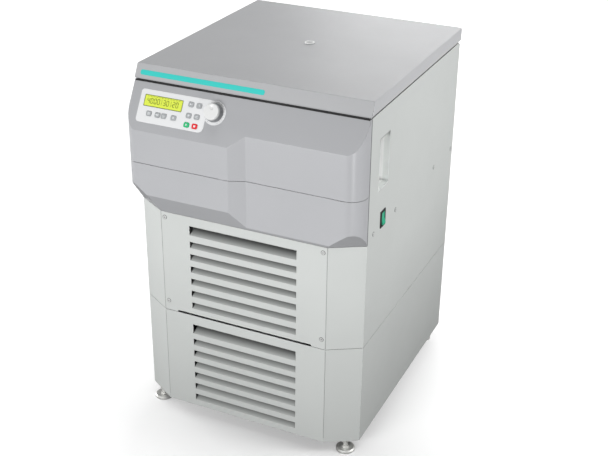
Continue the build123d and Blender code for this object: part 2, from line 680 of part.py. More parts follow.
def motor_plate():
    """Plate between the posts that carries the motor and the armour ring."""
    x = HALF - POST_IN - 8
    y = (FRONT_POST_Y + POST + 0.5, REAR_POST_Y - 0.5)
    body = block((-x, x), y, (PLATE_Z, PLATE_Z + PLATE))
    inner = HALF - POST_IN - POST - 0.5
    body += block((-inner, inner), (y[0], REAR_POST_Y + 26), (PLATE_Z, PLATE_Z + PLATE))
    body -= rod(MOTOR_R + 7, "Z", (0, CHAMBER_Y), (PLATE_Z - 5, PLATE_Z + PLATE + 5))
    return body


def damper_spots():
    radius = MOTOR_R + 7 + DAMPER_R
    angles = [math.radians(45 + 90 * i) for i in range(4)]
    return [(radius * math.cos(a), CHAMBER_Y + radius * math.sin(a)) for a in angles]


def motor_dampers():
    z0 = PLATE_Z + PLATE
    return Compound(children=[rod(DAMPER_R - 1, "Z", at, (z0, z0 + DAMPER_H)) for at in damper_spots()])


def drive_motor():
    """Motor hung through the plate, with its flange on the dampers."""
    at = (0, CHAMBER_Y)
    flange_z = PLATE_Z + PLATE + DAMPER_H
    body = rod(MOTOR_R, "Z", at, (MOTOR_BOTTOM_Z, flange_z + 1))
    body = chamfer(body.edges().group_by(Axis.Z)[0], 6)
    body += rod(MOTOR_FLANGE_R, "Z", at, (flange_z, flange_z + 8))
    body += rod(NECK_R, "Z", at, (flange_z + 8, NECK_TOP_Z))
    for i in range(12):
        angle = i * 30
        rib = block((MOTOR_R - 2, MOTOR_R + 4), (-2, 2), (MOTOR_BOTTOM_Z + 15, PLATE_Z - 20))
        body += Pos(0, CHAMBER_Y, 0) * Rot(0, 0, angle) * rib
    body -= rod(SHAFT_R + RUN, "Z", at, (SHAFT_BOTTOM_Z, NECK_TOP_Z + 5))
    return body


def drive_shaft():
    at = (0, CHAMBER_Y)
    body = rod(SHAFT_R, "Z", at, (SHAFT_BOTTOM_Z, HUB_Z[0]))
    body += rod(SPIGOT_R, "Z", at, (HUB_Z[0], HUB_Z[1] + NUT_H - 6))
    return body


# ---------------------------------------------------------------- rotor
def rotor_cross():
    """Four-armed cross; each arm's end carries a trunnion for both neighbours."""
    inner = BUCKET_R + BOSS + ARM_CLEAR
    tip = TRUNNION_AT + 12
    body = rod(36.0, "Z", (0, 0), HUB_Z)
    root = 26.0
    arm_points = [(0, 0), (root + 18, 0), (inner + 6, inner), (tip, inner), (tip, inner + 14),
                  (inner + 14, tip), (inner, tip), (inner, inner + 6), (0, root + 18)]
    arm = outline(arm_points, *ARM_Z)
    for i in range(4):
        body += Rot(0, 0, 90 * i) * arm
    stub = (inner - ARM_CLEAR - 3.5, inner + 2)
    for i in range(4):
        pair = rod(TRUNNION_R, "Y", (TRUNNION_AT, TRUNNION_Z), stub)
        pair += rod(TRUNNION_R, "Y", (TRUNNION_AT, TRUNNION_Z), (-stub[1], -stub[0]))
        body += Rot(0, 0, 90 * i) * pair
    body -= rod(SPIGOT_R + RUN, "Z", (0, 0), (HUB_Z[0] - 5, HUB_Z[1] + 5))
    return Pos(0, CHAMBER_Y, 0) * body


def rotor_nut():
    """Hand nut that holds the rotor on the shaft."""
    body = rod(22.0, "Z", (0, 0), (HUB_Z[1], HUB_Z[1] + NUT_H))
    for i in range(8):
        flute = rod(4.0, "Z", (24.0, 0), (HUB_Z[1] - 1, HUB_Z[1] + NUT_H + 1))
        body -= Rot(0, 0, 45 * i) * flute
    body -= rod(SPIGOT_R + RUN, "Z", (0, 0), (HUB_Z[1] - 1, HUB_Z[1] + NUT_H - 5))
    return Pos(0, CHAMBER_Y, 0) * body


def bucket(angle):
    """Swing-out bucket with a trunnion boss on each side."""
    z0 = TRUNNION_Z - BUCKET_BELOW
    z1 = TRUNNION_Z + BUCKET_ABOVE
    at = (TRUNNION_AT, 0)
    body = rod(BUCKET_R, "Z", at, (z0, z1))
    body = fillet(body.edges().group_by(Axis.Z)[0], 8.0)
    half = BUCKET_R + BOSS
    body += rod(TRUNNION_R + 5, "Y", (TRUNNION_AT, TRUNNION_Z), (-half, half))
    hollow = rod(BUCKET_R - BUCKET_WALL, "Z", at, (z0 + BUCKET_FLOOR, z1 + 1))
    body -= fillet(hollow.edges().group_by(Axis.Z)[0], 5.0)
    for side in (-1, 1):
        ends = sorted((side * (half - 4), side * (half + 1)))
        body -= rod(TRUNNION_R + RUN, "Y", (TRUNNION_AT, TRUNNION_Z), ends)
    return Pos(0, CHAMBER_Y, 0) * Rot(0, 0, angle) * body


# ---------------------------------------------------------------- lower machinery
def compressor():
    """Hermetic compressor can on its foot plate."""
    at = (-165.0, 190.0)
    floor = FOOT_HEIGHT + PAN
    body = rod(85.0, "Z", at, (floor + 14, floor + 215))
    body = fillet(body.edges().group_by(Axis.Z)[-1], 45)
    body = fillet(body.edges().group_by(Axis.Z)[0], 25)
    body += rod(87.0, "Z", at, (floor + 100, floor + 106))
    body += block((at[0] - 85, at[0] + 85), (at[1] - 70, at[1] + 70), (floor + 10, floor + 18))
    for dx in (-72, 72):
        for dy in (-58, 58):
            body += rod(11.0, "Z", (at[0] + dx, at[1] + dy), (floor, floor + 12))
    return body


def condenser():
    """Finned core of the condenser, open to the lower vents."""
    z0 = FOOT_HEIGHT + PAN
    z1 = z0 + CONDENSER
    half = CONDENSER_HALF
    core = block((-half, half), (CORE_Y, CORE_Y + CORE_DEPTH), (z0, z1))
    for i in range(24):
        x = -138.0 + 12.0 * i
        core -= block((x - 3.5, x + 3.5), (CORE_Y - 1, CORE_Y + CORE_DEPTH - 8), (z0 + 12, z1 - 12))
    return core


def fan_shroud():
    """Shroud behind the condenser, with the fan motor on its struts."""
    z0 = FOOT_HEIGHT + PAN
    mid = z0 + CONDENSER / 2
    half = CONDENSER_HALF
    y0 = CORE_Y + CORE_DEPTH
    body = block((-half, half), (y0, SHROUD_END), (z0, z0 + CONDENSER))
    body -= rod(SHROUD_BORE_R, "Y", (0, mid), (y0 - 1, SHROUD_END + 1))
    body += rod(30.0, "Y", (0, mid), (SHROUD_END, SHROUD_END + 45))
    for angle in (45, 135, 225, 315):
        strut = block((20, SHROUD_BORE_R + 19), (SHROUD_END, SHROUD_END + 6), (-5, 5))
        body += Pos(0, 0, mid) * Rot(0, angle, 0) * strut
    body -= rod(FAN_SHAFT_R + RUN, "Y", (0, mid), (SHROUD_END - 1, SHROUD_END + 30))
    return body


def condenser_fan():
    """Five-bladed fan in the shroud."""
    mid = FOOT_HEIGHT + PAN + CONDENSER / 2
    body = rod(26.0, "Y", (0, 0), (SHROUD_END - 26, SHROUD_END - 4))
    blade_span = SHROUD_BORE_R - 6 - 22
    for i in range(5):
        blade = Pos(22 + blade_span / 2, SHROUD_END - 15, 0) * Rot(28, 0, 0) * Box(blade_span, 2.5, 34)
        body += Rot(0, 72 * i, 0) * blade
    body += rod(FAN_SHAFT_R, "Y", (0, 0), (SHROUD_END - 10, SHROUD_END + 28))
    return Pos(0, 0, mid) * body


def inverter_box():
    """Motor drive unit under the front rail, with a heat sink facing the vents."""
    top = PLATE_Z - POST
    y0 = FRONT_POST_Y + 4
    body = block((-120, 120), (y0 + 22, y0 + 100), (top - 170, top))
    body += block((-120, 120), (y0 + 16, y0 + 23), (top - 165, top))
    for i in range(15):
        x = -112.0 + 16.0 * i
        body += block((x - 1.5, x + 1.5), (y0, y0 + 18), (top - 160, top - 5))
    return body


# ---------------------------------------------------------------- lid lock
def lock_housings():
    """Two lock blocks under the deck, each with a slot for the striker."""
    blocks = []
    for x in (-LOCK_X, LOCK_X):
        body = block((x - 24, x + 24), (LOCK_Y - 19, LOCK_Y + 21), (LOCK_Z - 24, TOP_Z - DECK))
        body -= block((x - 5, x + 5), (LOCK_Y - 15, LOCK_Y + 15), (LOCK_Z - 14, TOP_Z))
        body -= rod(LOCK_PIN_R + RUN, "X", (LOCK_Y, LOCK_Z), (x - 25, x + 16))
        blocks.append(body)
    return Compound(children=blocks)


def lock_bar():
    """Sliding bar with one locking pin for each striker, drawn back at rest."""
    bar_y = (LOCK_Y + 23.5, LOCK_Y + 29)
    z = (LOCK_Z - 6, LOCK_Z + 6)
    body = block((-LOCK_X - 44, LOCK_X - 36), bar_y, z)
    for x in (-LOCK_X, LOCK_X):
        body += block((x - 44, x - 36), (LOCK_Y - 6, bar_y[1]), z)
        body += rod(LOCK_PIN_R, "X", (LOCK_Y, LOCK_Z), (x - 38, x - 6))
    return body


# ---------------------------------------------------------------- lid
def lid_form(inset):
    """Outer form of the lid with its bevelled front."""
    half = LID_WIDTH / 2 - inset
    top = LID_TOP_Z - inset
    z0 = LID_Z - (1 if inset else 0)
    body = block((-half, half), (LID_FRONT_Y - 20, LID_REAR_Y - inset), (z0, top))
    body -= waste_beyond((LID_FRONT_Y, LID_Z), (LID_CREASE_Y, LID_TOP_Z), inset)
    edges = body.edges().filter_by(lambda e: e.center().Y > 300 and abs(e.center().X) > 100
                                   and e.length < 60)
    body = fillet(edges, 8.0 - inset)
    return body


def lid_cover():
    """Outer shell of the lid with its screw bosses."""
    outer = lid_form(0)
    top_edges = outer.edges().group_by(Axis.Z)[-1]
    outer = fillet(top_edges, 2.5)
    body = outer - lid_form(WALL)
    plate_top = LID_Z + 0.4 + LID_PLATE
    for x in (-260.0, 0.0, 260.0):
        for y in (-262.0, 285.0):
            body += rod(7.0, "Z", (x, y), (plate_top, LID_TOP_Z - 1))
    body -= rod(SIGHT_R + SEAT, "Z", (0, CHAMBER_Y), (LID_Z, LID_TOP_Z + 5))
    return body


def lid_frame():
    """Steel inner plate with the chamber plug, hinge arms and strikers."""
    z0 = LID_Z + 0.4
    z1 = z0 + LID_PLATE
    half = LID_WIDTH / 2 - WALL - SEAT
    front = LID_FRONT_Y + WALL + 1.6
    body = block((-half, half), (front, HINGE_Y - 40), (z0, z1))
    for x in (-HINGE_X, HINGE_X):
        body += block((x - KNUCKLE_HALF, x + KNUCKLE_HALF), (HINGE_Y - 60, HINGE_Y), (z0, z0 + 12))
        body += rod(KNUCKLE_R, "X", (HINGE_Y, HINGE_Z), (x - KNUCKLE_HALF, x + KNUCKLE_HALF))
        body -= rod(HINGE_PIN_R + RUN, "X", (HINGE_Y, HINGE_Z), (x - 20, x + 20))
    at = (0, CHAMBER_Y)
    pan = rod(PLUG_R, "Z", at, (z0 - PLUG_DEPTH, z1))
    pan = fillet(pan.edges().group_by(Axis.Z)[0], 4.0)
    body += pan
    body -= rod(PLUG_R - 1.5, "Z", at, (z0 - PLUG_DEPTH + 1.5, z1 + 1))
    body -= rod(SIGHT_R + SEAT, "Z", at, (z0 - 20, z1 + 5))
    for x in (-LOCK_X, LOCK_X):
        body += block((x - STRIKER / 2, x + STRIKER / 2), (LOCK_Y - 11, LOCK_Y + 11), (LOCK_Z - 12, z0 + 1))
        body -= rod(LOCK_PIN_R + 1.5, "X", (LOCK_Y, LOCK_Z), (x - 10, x + 10))
    for x in (-half, half - 1.5):
        body += block((x, x + 1.5), (front + 20, HINGE_Y - 40), (z0, z0 + 16))
    return body


def lid_window():
    """Sight glass through the middle of the lid."""
    at = (0, CHAMBER_Y)
    body = rod(SIGHT_R, "Z", at, (LID_Z + 0.4 - PLUG_DEPTH - 1, LID_TOP_Z))
    flange = rod(SIGHT_FLANGE_R, "Z", at, (LID_TOP_Z, LID_TOP_Z + SIGHT_FLANGE_H))
    flange = fillet(flange.edges().group_by(Axis.Z)[-1], 1.0)
    return body + flange


def lid_hinges():
    """Fixed hinge brackets: a foot on the deck and two ears each."""
    brackets = []
    for x in (-HINGE_X, HINGE_X):
        reach = KNUCKLE_HALF + 0.5 + EAR
        body = block((x - reach, x + reach), (HINGE_Y - 45, DECK_REAR_Y), (TOP_Z, TOP_Z + HINGE_FOOT))
        for side in (-1, 1):
            ear_x = sorted((x + side * (KNUCKLE_HALF + 0.5), x + side * reach))
            body += block(ear_x, (HINGE_Y - 38, HINGE_Y - BRACKET_BACK), (TOP_Z, HINGE_Z + 4))
            body += block(ear_x, (HINGE_Y - BRACKET_BACK - 3, HINGE_Y), (HINGE_Z - 6, HINGE_Z + 4))
            body += rod(KNUCKLE_R, "X", (HINGE_Y, HINGE_Z), ear_x)
        body -= rod(HINGE_PIN_R + RUN, "X", (HINGE_Y, HINGE_Z), (x - 30, x + 30))
        brackets.append(body)
    return Compound(children=brackets)


def hinge_pins():
    pins = []
    for x in (-HINGE_X, HINGE_X):
        reach = KNUCKLE_HALF + 0.5 + EAR
        body = rod(HINGE_PIN_R, "X", (HINGE_Y, HINGE_Z), (x - reach - 2, x + reach))
        body += rod(HINGE_PIN_R + 2.5, "X", (HINGE_Y, HINGE_Z), (x - reach - 2.5, x - reach))
        pins.append(body)
    return Compound(children=pins)


def balance_springs():
    """Cartridges with the torsion springs that carry the lid's weight."""
    cartridges = []
    for side in (-1, 1):
        x0 = side * (HINGE_X - KNUCKLE_HALF - 0.5 - EAR - 3.5)
        x1 = x0 - side * 70
        span = sorted((x0, x1))
        body = rod(KNUCKLE_R, "X", (HINGE_Y, HINGE_Z), span)
        body += block(span, (HINGE_Y - 37, HINGE_Y - BRACKET_BACK), (TOP_Z, TOP_Z + 7))
        body += block(span, (HINGE_Y - 16, HINGE_Y - 3), (HINGE_Z - 7, HINGE_Z))
        cartridges.append(body)
    return Compound(children=cartridges)


# ---------------------------------------------------------------- all pieces
def all_parts():
    shell = console_shell()
    upper_z = (SECTION_Z + PANEL_GAP, FASCIA_Z - PANEL_GAP)
    parts = {
        "chassis": chassis(),
        "motor_plate": motor_plate(),
        "side_panel_left": side_panel(-1),
        "side_panel_right": side_panel(1),
        "lower_housing": lower_housing(),
        "rear_panel": rear_panel(),
        "vent_panel_upper": upper_vent_panel(),
        "vent_panel_lower": vent_panel(LOWER_VENT, FOOT_HEIGHT, SECTION_Z - PANEL_GAP),
        "panel_screws": panel_screws(),
        "fascia_upper": upper_fascia(shell),
        "fascia_lower": lower_fascia(shell),
        "keypad_overlay": keypad_overlay(),
        "display_window": display_window(),
        "control_board": control_board(),
        "control_knob": control_knob(),
        "switch_frame": switch_frame(),
        "switch_rocker": switch_rocker(),
        "grip_cups": Compound(children=[grip_cup(), mirrored(grip_cup())]),
        "mains_inlet": mains_inlet(),
        "top_deck": top_deck(),
        "chamber_bowl": chamber_bowl(),
        "chamber_seal": chamber_seal(),
        "guard_ring": guard_ring(),
        "evaporator_coil": evaporator_coil(),
        "drive_motor": drive_motor(),
        "motor_dampers": motor_dampers(),
        "drive_shaft": drive_shaft(),
        "rotor_cross": rotor_cross(),
        "rotor_nut": rotor_nut(),
        "compressor": compressor(),
        "condenser": condenser(),
        "fan_shroud": fan_shroud(),
        "condenser_fan": condenser_fan(),
        "inverter_box": inverter_box(),
        "lock_housings": lock_housings(),
        "lock_bar": lock_bar(),
        "lid_cover": lid_cover(),
        "lid_frame": lid_frame(),
        "lid_window": lid_window(),
        "lid_hinges": lid_hinges(),
        "hinge_pins": hinge_pins(),
        "balance_springs": balance_springs(),
    }
    for name, at in KEYS.items():
        parts[name] = key(at)
    for i in range(4):
        parts[f"bucket_{i + 1}"] = bucket(90 * i)
    corners = [(x, y) for y in FOOT_Y for x in (-FOOT_X, FOOT_X)]
    for i, (x, y) in enumerate(corners):
        parts[f"foot_{i + 1}"] = foot(x, y)
    return parts


os.makedirs("parts", exist_ok=True)
for name, shape in all_parts().items():
    export_step(shape, f"parts/{name}.step")
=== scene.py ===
import json
import math

import bmesh
import bpy
from mathutils import Matrix, Vector


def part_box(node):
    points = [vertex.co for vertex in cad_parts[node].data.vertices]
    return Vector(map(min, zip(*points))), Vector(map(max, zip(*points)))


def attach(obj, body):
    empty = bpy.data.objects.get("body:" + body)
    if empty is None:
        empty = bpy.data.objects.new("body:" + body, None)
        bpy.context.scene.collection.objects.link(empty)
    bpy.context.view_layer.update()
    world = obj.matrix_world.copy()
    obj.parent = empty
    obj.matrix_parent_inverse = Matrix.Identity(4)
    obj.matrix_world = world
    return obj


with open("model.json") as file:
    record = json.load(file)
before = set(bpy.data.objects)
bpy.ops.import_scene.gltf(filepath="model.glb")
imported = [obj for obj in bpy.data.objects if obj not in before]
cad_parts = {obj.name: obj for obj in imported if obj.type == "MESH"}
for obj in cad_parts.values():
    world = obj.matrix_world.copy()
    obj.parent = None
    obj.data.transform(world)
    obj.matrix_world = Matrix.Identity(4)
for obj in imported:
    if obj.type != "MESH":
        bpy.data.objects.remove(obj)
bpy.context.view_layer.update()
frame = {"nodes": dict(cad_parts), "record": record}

MM = 0.001

# ---------------------------------------------------------------- node helpers


def new_material(name):
    material = bpy.data.materials.new(name)
    material.use_nodes = True
    material.node_tree.nodes.clear()
    return material, material.node_tree


def add(tree, kind, **values):
    node = tree.nodes.new(kind)
    for key, value in values.items():
        if key.startswith("in_"):
            node.inputs[int(key[3:])].default_value = value
        else:
            setattr(node, key, value)
    return node


def noise(tree, coords, scale, detail=2.0, roughness=0.5):
    node = add(tree, "ShaderNodeTexNoise")
    node.inputs["Scale"].default_value = scale
    node.inputs["Detail"].default_value = detail
    node.inputs["Roughness"].default_value = roughness
    tree.links.new(coords, node.inputs["Vector"])
    return node.outputs["Fac"]


def stretched(tree, coords, factors):
    node = add(tree, "ShaderNodeMapping")
    node.inputs["Scale"].default_value = factors
    tree.links.new(coords, node.inputs["Vector"])
    return node.outputs["Vector"]


def span(tree, value, lo, hi, to_lo, to_hi):
    node = add(tree, "ShaderNodeMapRange")
    for i, number in enumerate((lo, hi, to_lo, to_hi)):
        node.inputs[i + 1].default_value = number
    tree.links.new(value, node.inputs[0])
    return node.outputs[0]


def blend(tree, fac, first, second, mode="MIX"):
    """Colour mix. Each of fac, first and second is an output socket or a value."""
    node = add(tree, "ShaderNodeMix", data_type="RGBA", blend_type=mode)
    for index, item in ((0, fac), (6, first), (7, second)):
        if isinstance(item, bpy.types.NodeSocket):
            tree.links.new(item, node.inputs[index])
        elif isinstance(item, (int, float)):
            node.inputs[index].default_value = item
        else:
            node.inputs[index].default_value = (*item, 1.0)
    return node.outputs[2]


def maths(tree, operation, a, b=0.0):
    node = add(tree, "ShaderNodeMath", operation=operation)
    for index, item in ((0, a), (1, b)):
        if isinstance(item, bpy.types.NodeSocket):
            tree.links.new(item, node.inputs[index])
        else:
            node.inputs[index].default_value = item
    return node.outputs[0]


def mix_shaders(tree, fac, first, second):
    """A mix of two shader nodes, chosen by an output socket."""
    node = add(tree, "ShaderNodeMixShader")
    for index, source in enumerate((fac, first.outputs[0], second.outputs[0])):
        tree.links.new(source, node.inputs[index])
    return node


def edge_mask(tree, radius):
    """High along the convex and concave edges of a piece."""
    bevel = add(tree, "ShaderNodeBevel", samples=4)
    bevel.inputs["Radius"].default_value = radius
    geometry = add(tree, "ShaderNodeNewGeometry")
    dot = add(tree, "ShaderNodeVectorMath", operation="DOT_PRODUCT")
    tree.links.new(bevel.outputs[0], dot.inputs[0])
    tree.links.new(geometry.outputs["Normal"], dot.inputs[1])
    return bevel.outputs[0], span(tree, dot.outputs["Value"], 0.995, 0.86, 0.0, 1.0)


def seam_shade_mask(tree, distance):
    """High in narrow seams and corners, where painted shade darkens the colour."""
    node = add(tree, "ShaderNodeAmbientOcclusion", samples=4)
    node.inputs["Distance"].default_value = distance
    return span(tree, node.outputs["AO"], 0.75, 0.15, 0.0, 1.0)


IOR = 1.45
BUMP_DEPTH = 0.0002      # metres, between the low and the high points of the grain
TONES, WEAR, SMEARS = 5.0, 60.0, 18.0  # noise scales of the colour, the worn edges and the gloss


def surface(name, base, rough, metal=0.0, grain=900.0, bump=0.05, vary=0.06, rough_vary=0.08,
            stretch=(1.0, 1.0, 1.0), edge=0.0, edge_light=0.25, seam=0.0, coat=0.0,
            transmission=0.0, colour=None):
    """A procedural material: fine grain, broad tone changes, worn edges that also carry a painted highlight,
    and painted shade in seams.
    """
    material, tree = new_material(name)
    shader = add(tree, "ShaderNodeBsdfPrincipled")
    output = add(tree, "ShaderNodeOutputMaterial")
    tree.links.new(shader.outputs[0], output.inputs[0])
    coords = stretched(tree, add(tree, "ShaderNodeTexCoord").outputs["Object"], stretch)
    shader.inputs["Metallic"].default_value = metal
    shader.inputs["IOR"].default_value = IOR
    if coat:
        shader.inputs["Coat Weight"].default_value = coat
        shader.inputs["Coat Roughness"].default_value = 0.12
    if transmission:
        shader.inputs["Transmission Weight"].default_value = transmission
    broad = noise(tree, coords, TONES, 3.0)
    fine = noise(tree, coords, grain, 3.0, 0.6)
    tone = span(tree, broad, 0.3, 0.7, 1.0 - vary, 1.0 + vary * 0.6)
    tint = base if colour is None else colour(tree)
    shade = blend(tree, 1.0, tint, (1.0, 1.0, 1.0), "MULTIPLY")
    gain = add(tree, "ShaderNodeVectorMath", operation="SCALE")
    tree.links.new(shade, gain.inputs[0])
    tree.links.new(tone, gain.inputs["Scale"])
    paint = gain.outputs[0]
    normal_in = None
    if edge:
        normal_in, edges = edge_mask(tree, edge)
        patches = span(tree, noise(tree, coords, WEAR, 4.0), 0.35, 0.65, 0.4, 1.0)
        # worn edges in patches, together with a painted highlight that lightens convex and concave edges
        wear_and_highlight = maths(tree, "MULTIPLY", edges, patches)
        light = tuple(min(1.0, c * 1.15 + 0.12) for c in base)
        paint = blend(tree, maths(tree, "MULTIPLY", wear_and_highlight, edge_light), paint, light)
    if seam:
        # painted shade: seams and corners darkened through an ambient-occlusion mask
        painted_seam_shade = maths(tree, "MULTIPLY", seam_shade_mask(tree, seam), 0.55)
        paint = blend(tree, painted_seam_shade, paint, darker(base, 0.35))
    tree.links.new(paint, shader.inputs["Base Color"])
    rough_noise = noise(tree, coords, SMEARS, 5.0, 0.65)
    glossy, dull = max(0.02, rough - rough_vary), min(1.0, rough + rough_vary)
    tree.links.new(span(tree, rough_noise, 0.3, 0.7, glossy, dull), shader.inputs["Roughness"])
    bump_node = add(tree, "ShaderNodeBump")
    bump_node.inputs["Strength"].default_value = bump
    bump_node.inputs["Distance"].default_value = BUMP_DEPTH
    tree.links.new(fine, bump_node.inputs["Height"])
    if normal_in is not None:
        tree.links.new(normal_in, bump_node.inputs["Normal"])
    tree.links.new(bump_node.outputs[0], shader.inputs["Normal"])
    return material


def srgb(*values):
    """Linear colour from 0-255 display values."""
    out = []
    for v in values:
        c = v / 255.0
        out.append(c / 12.92 if c <= 0.04045 else ((c + 0.055) / 1.055) ** 2.4)
    return tuple(out)


def darker(colour, factor):
    return tuple(c * factor for c in colour)


# ---------------------------------------------------------------- sloping faces


def slope_place(foot, top):
    """Length, outward direction and place of a face whose edges are at (y, z) foot and top."""
    y, z = top[0] - foot[0], top[1] - foot[1]
    length = math.hypot(y, z)
    up = Vector((0.0, y / length, z / length))
    out = Vector((0.0, -up.z, up.y))
    axes = Matrix(((1.0, 0.0, 0.0), (0.0, up.y, out.y), (0.0, up.z, out.z)))
    return length, out, Matrix.Translation((0.0, *foot)) @ axes.to_4x4()


SLOPE_FOOT = (-0.3415, 0.846)
SLOPE_TOP = (-0.2955, 0.924)
SLOPE_LENGTH, OUT_SLOPE, PANEL = slope_place(SLOPE_FOOT, SLOPE_TOP)
LID_LO, LID_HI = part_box("lid_cover")
LID_BEVEL_RUN = 0.0163   # how far the lid's front leans back over its height
LID_BEVEL = slope_place((LID_LO.y, LID_LO.z), (LID_LO.y + LID_BEVEL_RUN, LID_HI.z))[2]
HALF = 310.0             # half of the cabinet's width


def above_panel(tree):
    """Height above the operator panel, in metres, as a value in a material."""
    coords = add(tree, "ShaderNodeTexCoord").outputs["Object"]
    dot = add(tree, "ShaderNodeVectorMath", operation="DOT_PRODUCT")
    tree.links.new(coords, dot.inputs[0])
    dot.inputs[1].default_value = OUT_SLOPE
    return maths(tree, "SUBTRACT", dot.outputs["Value"], OUT_SLOPE.dot(Vector((0.0, *SLOPE_FOOT))))


# ---------------------------------------------------------------- colours that change over a piece
CABINET = srgb(200, 203, 201)
CONSOLE = srgb(178, 179, 182)
LIDGREY = srgb(187, 188, 190)


def place_of(tree, output, axis):
    """One coordinate of the object's own position or normal, as a value."""
    parts = add(tree, "ShaderNodeSeparateXYZ")
    tree.links.new(add(tree, "ShaderNodeTexCoord").outputs[output], parts.inputs[0])
    return parts.outputs[axis]


VENT_FACE_Y = -0.3385
VENT_SHADE = (0.001, 0.019)  # depths between which a fin darkens
SHADED_FOOT = (0.03, 0.5)  # heights between which the cabinet gets lighter


def cabinet_colour(tree):
    """Painted shade: a little darker towards the floor."""
    return blend(tree, span(tree, place_of(tree, "Object", 2), *SHADED_FOOT, 0.0, 1.0),
                 darker(CABINET, 0.81), CABINET)


def vent_colour(tree):
    """The cabinet's colour, with painted shade that darkens it behind the slots."""
    near, deep = (VENT_FACE_Y + depth for depth in VENT_SHADE)
    shade = span(tree, place_of(tree, "Object", 1), near, deep, 0.0, 1.0)
    return blend(tree, shade, cabinet_colour(tree), darker(CABINET, 0.2))


def console_colour(tree):
    """Painted shade: the faces that look up are a little darker, and those that look down darker still."""
    tilt = place_of(tree, "Normal", 2)
    upper = blend(tree, span(tree, tilt, 0.1, 0.45, 0.0, 1.0), CONSOLE, darker(CONSOLE, 0.9))
    return blend(tree, span(tree, tilt, -0.1, -0.45, 0.0, 1.0), upper, darker(CONSOLE, 0.74))


def lid_colour(tree):
    """Painted shade: the front bevel is a little darker than the top."""
    facing = span(tree, place_of(tree, "Normal", 1), -0.5, -0.2, 0.0, 1.0)
    return blend(tree, facing, darker(LIDGREY, 0.9), LIDGREY)


GRIP_BACK = 0.0145       # depth where the cup's white part starts
GRIP_BLEND = 0.0005      # half of the width of that change
GRIP_TOP_Z = (0.838, 0.850)  # heights between which the upper edge darkens


def grip_colour(tree):
    """White in the depth of the recess, grey round its sides, with a painted shadow under its upper edge."""
    edge = HALF * MM - GRIP_BACK
    across = maths(tree, "ABSOLUTE", place_of(tree, "Object", 0))
    side = span(tree, across, edge - GRIP_BLEND, edge + GRIP_BLEND, 0.0, 1.0)
    shade = blend(tree, side, srgb(248, 249, 248), srgb(232, 235, 233))
    # painted shadow under the recess's upper edge
    under = span(tree, place_of(tree, "Object", 2), *GRIP_TOP_Z, 0.0, 0.7)
    return blend(tree, under, shade, srgb(120, 122, 121))


KNOB_PALE = (0.0125, 0.0175)  # heights above the panel between which the knob gets pale


def knob_colour(tree):
    """Grey round the skirt, pale on the cap."""
    height = span(tree, above_panel(tree), *KNOB_PALE, 0.0, 1.0)
    return blend(tree, height, srgb(128, 130, 132), srgb(226, 227, 226))


